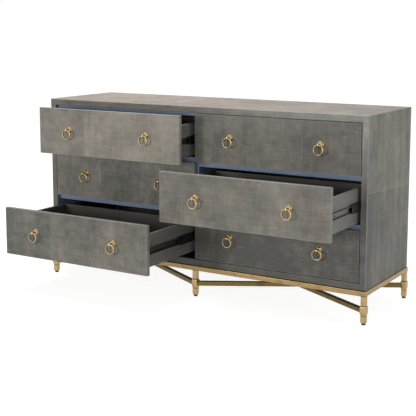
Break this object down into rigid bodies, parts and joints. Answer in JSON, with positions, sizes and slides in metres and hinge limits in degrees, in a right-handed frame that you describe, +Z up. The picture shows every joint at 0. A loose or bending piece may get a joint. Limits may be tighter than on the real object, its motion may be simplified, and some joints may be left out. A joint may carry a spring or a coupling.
{
  "type": "double dresser",
  "caption": "Wide wrapped dresser with drawers in side-by-side columns on ball-bearing slides, ring pulls, and a brass-toned metal base with crossed stretchers.",
  "frame": {"origin": "middle of the front centre foot's underside, on the floor", "axes": "+X to the right as seen from the front, +Y to the back, +Z up"},
  "size_m": [1.611, 0.8585, 0.838],
  "materials": {
    "shagreen": "matt grey wrap with a fine woven grain",
    "brass": "brushed, warm",
    "inside_lacquer": "blue-grey satin paint",
    "drawer_wood": "grey-brown satin stain",
    "back_board": "plain dark board",
    "slide_steel": "dark zinc-plated steel",
    "glide_black": "black"
  },
  "bodies": {
    "carcass": {"top_panel": "shagreen", "bottom_panel": "shagreen", "left_side_panel": "shagreen", "right_side_panel": "shagreen", "centre_partition": "inside_lacquer", "back_panel": "back_board", "front_rails": "inside_lacquer", "cabinet_slides": "slide_steel", "base_rails": "brass", "legs": "brass", "cross_stretchers": "brass", "floor_glides": "glide_black"},
    "bottom_left_drawer": {"bottom_left_drawer_front": "shagreen", "bottom_left_drawer_box": "drawer_wood", "bottom_left_drawer_bottom": "drawer_wood", "bottom_left_drawer_slides": "slide_steel", "bottom_left_pull_posts": "brass"},
    "bottom_left_middle_members": {"bottom_left_middle_slides": "slide_steel"},
    "bottom_left_left_ring": {"bottom_left_left_ring": "brass"},
    "bottom_left_right_ring": {"bottom_left_right_ring": "brass"},
    "bottom_right_drawer": {"bottom_right_drawer_front": "shagreen", "bottom_right_drawer_box": "drawer_wood", "bottom_right_drawer_bottom": "drawer_wood", "bottom_right_drawer_slides": "slide_steel", "bottom_right_pull_posts": "brass"},
    "bottom_right_middle_members": {"bottom_right_middle_slides": "slide_steel"},
    "bottom_right_left_ring": {"bottom_right_left_ring": "brass"},
    "bottom_right_right_ring": {"bottom_right_right_ring": "brass"},
    "middle_left_drawer": {"middle_left_drawer_front": "shagreen", "middle_left_drawer_box": "drawer_wood", "middle_left_drawer_bottom": "drawer_wood", "middle_left_drawer_slides": "slide_steel", "middle_left_pull_posts": "brass"},
    "middle_left_middle_members": {"middle_left_middle_slides": "slide_steel"},
    "middle_left_left_ring": {"middle_left_left_ring": "brass"},
    "middle_left_right_ring": {"middle_left_right_ring": "brass"},
    "middle_right_drawer": {"middle_right_drawer_front": "shagreen", "middle_right_drawer_box": "drawer_wood", "middle_right_drawer_bottom": "drawer_wood", "middle_right_drawer_slides": "slide_steel", "middle_right_pull_posts": "brass"},
    "middle_right_middle_members": {"middle_right_middle_slides": "slide_steel"},
    "middle_right_left_ring": {"middle_right_left_ring": "brass"},
    "middle_right_right_ring": {"middle_right_right_ring": "brass"},
    "top_left_drawer": {"top_left_drawer_front": "shagreen", "top_left_drawer_box": "drawer_wood", "top_left_drawer_bottom": "drawer_wood", "top_left_drawer_slides": "slide_steel", "top_left_pull_posts": "brass"},
    "top_left_middle_members": {"top_left_middle_slides": "slide_steel"},
    "top_left_left_ring": {"top_left_left_ring": "brass"},
    "top_left_right_ring": {"top_left_right_ring": "brass"},
    "top_right_drawer": {"top_right_drawer_front": "shagreen", "top_right_drawer_box": "drawer_wood", "top_right_drawer_bottom": "drawer_wood", "top_right_drawer_slides": "slide_steel", "top_right_pull_posts": "brass"},
    "top_right_middle_members": {"top_right_middle_slides": "slide_steel"},
    "top_right_left_ring": {"top_right_left_ring": "brass"},
    "top_right_right_ring": {"top_right_right_ring": "brass"}
  },
  "joints": [
    {"name": "bottom_left_drawer_slide", "type": "slide", "parent": "carcass", "child": "bottom_left_drawer", "axis": [0, -1, 0], "range_m": [-0.357, 0.013]},
    {"name": "bottom_left_middle_slide", "type": "slide", "parent": "carcass", "child": "bottom_left_middle_members", "axis": [0, -1, 0], "range_m": [-0.12495, 0.00455]},
    {"name": "bottom_left_left_ring_swing", "type": "hinge", "parent": "bottom_left_drawer", "child": "bottom_left_left_ring", "pos_m": [-0.5955, -0.387, 0.28617], "axis": [-1, 0, 0], "range_deg": [-20, 100]},
    {"name": "bottom_left_right_ring_swing", "type": "hinge", "parent": "bottom_left_drawer", "child": "bottom_left_right_ring", "pos_m": [-0.1755, -0.387, 0.28617], "axis": [-1, 0, 0], "range_deg": [-20, 100]},
    {"name": "bottom_right_drawer_slide", "type": "slide", "parent": "carcass", "child": "bottom_right_drawer", "axis": [0, -1, 0], "range_m": [0, 0.37]},
    {"name": "bottom_right_middle_slide", "type": "slide", "parent": "carcass", "child": "bottom_right_middle_members", "axis": [0, -1, 0], "range_m": [0, 0.1295]},
    {"name": "bottom_right_left_ring_swing", "type": "hinge", "parent": "bottom_right_drawer", "child": "bottom_right_left_ring", "pos_m": [0.1755, -0.03, 0.28617], "axis": [-1, 0, 0], "range_deg": [-20, 100]},
    {"name": "bottom_right_right_ring_swing", "type": "hinge", "parent": "bottom_right_drawer", "child": "bottom_right_right_ring", "pos_m": [0.5955, -0.03, 0.28617], "axis": [-1, 0, 0], "range_deg": [-20, 100]},
    {"name": "middle_left_drawer_slide", "type": "slide", "parent": "carcass", "child": "middle_left_drawer", "axis": [0, -1, 0], "range_m": [0, 0.37]},
    {"name": "middle_left_middle_slide", "type": "slide", "parent": "carcass", "child": "middle_left_middle_members", "axis": [0, -1, 0], "range_m": [0, 0.1295]},
    {"name": "middle_left_left_ring_swing", "type": "hinge", "parent": "middle_left_drawer", "child": "middle_left_left_ring", "pos_m": [-0.5955, -0.03, 0.4995], "axis": [-1, 0, 0], "range_deg": [-20, 100]},
    {"name": "middle_left_right_ring_swing", "type": "hinge", "parent": "middle_left_drawer", "child": "middle_left_right_ring", "pos_m": [-0.1755, -0.03, 0.4995], "axis": [-1, 0, 0], "range_deg": [-20, 100]},
    {"name": "middle_right_drawer_slide", "type": "slide", "parent": "carcass", "child": "middle_right_drawer", "axis": [0, -1, 0], "range_m": [-0.273, 0.097]},
    {"name": "middle_right_middle_slide", "type": "slide", "parent": "carcass", "child": "middle_right_middle_members", "axis": [0, -1, 0], "range_m": [-0.09555, 0.03395]},
    {"name": "middle_right_left_ring_swing", "type": "hinge", "parent": "middle_right_drawer", "child": "middle_right_left_ring", "pos_m": [0.1755, -0.303, 0.4995], "axis": [-1, 0, 0], "range_deg": [-20, 100]},
    {"name": "middle_right_right_ring_swing", "type": "hinge", "parent": "middle_right_drawer", "child": "middle_right_right_ring", "pos_m": [0.5955, -0.303, 0.4995], "axis": [-1, 0, 0], "range_deg": [-20, 100]},
    {"name": "top_left_drawer_slide", "type": "slide", "parent": "carcass", "child": "top_left_drawer", "axis": [0, -1, 0], "range_m": [-0.116, 0.254]},
    {"name": "top_left_middle_slide", "type": "slide", "parent": "carcass", "child": "top_left_middle_members", "axis": [0, -1, 0], "range_m": [-0.0406, 0.0889]},
    {"name": "top_left_left_ring_swing", "type": "hinge", "parent": "top_left_drawer", "child": "top_left_left_ring", "pos_m": [-0.5955, -0.146, 0.71283], "axis": [-1, 0, 0], "range_deg": [-20, 100]},
    {"name": "top_left_right_ring_swing", "type": "hinge", "parent": "top_left_drawer", "child": "top_left_right_ring", "pos_m": [-0.1755, -0.146, 0.71283], "axis": [-1, 0, 0], "range_deg": [-20, 100]},
    {"name": "top_right_drawer_slide", "type": "slide", "parent": "carcass", "child": "top_right_drawer", "axis": [0, -1, 0], "range_m": [0, 0.37]},
    {"name": "top_right_middle_slide", "type": "slide", "parent": "carcass", "child": "top_right_middle_members", "axis": [0, -1, 0], "range_m": [0, 0.1295]},
    {"name": "top_right_left_ring_swing", "type": "hinge", "parent": "top_right_drawer", "child": "top_right_left_ring", "pos_m": [0.1755, -0.03, 0.71283], "axis": [-1, 0, 0], "range_deg": [-20, 100]},
    {"name": "top_right_right_ring_swing", "type": "hinge", "parent": "top_right_drawer", "child": "top_right_right_ring", "pos_m": [0.5955, -0.03, 0.71283], "axis": [-1, 0, 0], "range_deg": [-20, 100]}
  ],
  "couplings": [
    {"joint": "bottom_left_middle_slide", "follows": "bottom_left_drawer_slide", "ratio": 0.35},
    {"joint": "bottom_right_middle_slide", "follows": "bottom_right_drawer_slide", "ratio": 0.35},
    {"joint": "middle_left_middle_slide", "follows": "middle_left_drawer_slide", "ratio": 0.35},
    {"joint": "middle_right_middle_slide", "follows": "middle_right_drawer_slide", "ratio": 0.35},
    {"joint": "top_left_middle_slide", "follows": "top_left_drawer_slide", "ratio": 0.35},
    {"joint": "top_right_middle_slide", "follows": "top_right_drawer_slide", "ratio": 0.35}
  ]
}
